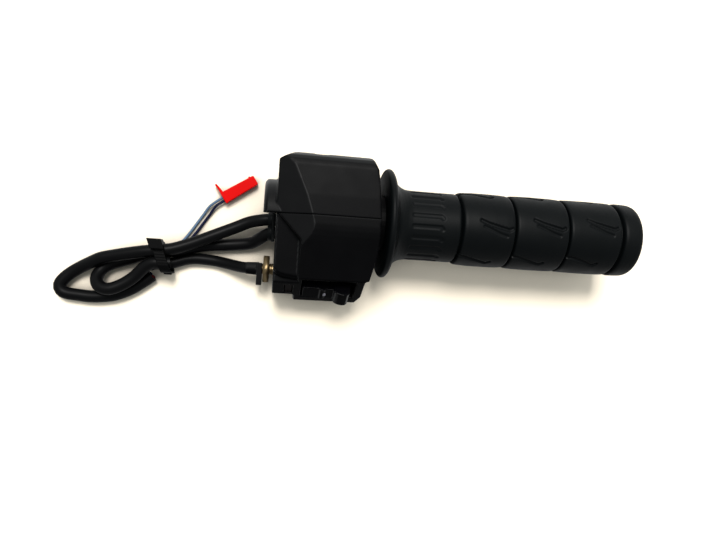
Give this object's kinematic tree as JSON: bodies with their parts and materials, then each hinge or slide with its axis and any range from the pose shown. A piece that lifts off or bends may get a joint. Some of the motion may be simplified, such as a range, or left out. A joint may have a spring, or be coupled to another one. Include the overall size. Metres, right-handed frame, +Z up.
{
  "type": "throttle grip",
  "caption": "Motorcycle twist throttle: rubber grip on a cable drum, two-piece black switch housing, rocker and button, sleeved leads and throttle cable.",
  "frame": {"origin": "centre of the box around the grip, housing and fittings without the free leads, at the surface they lie on", "axes": "+X along the handlebar axis from the housing towards the grip's closed end (outboard on a right-hand control), +Y to the front of the vehicle, +Z up"},
  "size_m": [0.2839, 0.0747, 0.0528],
  "materials": {
    "housing_plastic": "moulded black nylon, fine satin grain",
    "grip_rubber": "matte black rubber",
    "tube_plastic": "plain black plastic",
    "gloss_plastic": "glossy black plastic",
    "button_plastic": "dark plastic",
    "sleeve_vinyl": "black vinyl sleeving, satin",
    "zinc": "yellow zinc plate",
    "steel": "plain steel",
    "brass": "brass",
    "plug_red": "red nylon connector",
    "wire_pale": "pale blue insulation",
    "wire_dark": "dark blue insulation"
  },
  "bodies": {
    "housing": {"adjuster_nut": "zinc", "button_contact": "brass", "button_spring": "steel", "cable_adjuster": "zinc", "cable_boot": "housing_plastic", "cable_elbow": "steel", "cable_tie": "sleeve_vinyl", "clamp_screw_lower": "steel", "clamp_screw_upper": "steel", "connector_pin_a": "brass", "connector_pin_b": "brass", "connector_shell": "plug_red", "contact_pad_left": "brass", "contact_pad_right": "brass", "front_half": "housing_plastic", "inner_cable": "steel", "lead_grommet": "grip_rubber", "lead_lower": "sleeve_vinyl", "lead_upper": "sleeve_vinyl", "rear_half": "housing_plastic", "rocker_pin": "steel", "switch_frame": "tube_plastic", "throttle_cable": "sleeve_vinyl", "wire_dark": "wire_dark", "wire_pale": "wire_pale"},
    "twist_grip": {"grip_sleeve": "grip_rubber", "throttle_tube": "tube_plastic", "cable_nipple": "zinc"},
    "rocker_switch": {"rocker": "gloss_plastic", "rocker_wiper": "brass"},
    "start_button": {"starter_button": "button_plastic"}
  },
  "joints": [
    {"name": "throttle_twist", "type": "hinge", "parent": "housing", "child": "twist_grip", "pos_m": [-0.0362, 0.00611, 0.0265], "axis": [1, 0, 0], "range_deg": [0, 75], "deforming": ["inner_cable"]},
    {"name": "rocker_tip", "type": "hinge", "parent": "housing", "child": "rocker_switch", "pos_m": [-0.06, -0.0246, 0.0259], "axis": [0, 0.4837, 0.8752], "range_deg": [0, 20]},
    {"name": "button_press", "type": "slide", "parent": "housing", "child": "start_button", "axis": [0, 0.8752, -0.4837], "range_m": [0, 0.0018], "stiffness_N_per_m": 200, "deforming": ["button_spring"]}
  ]
}
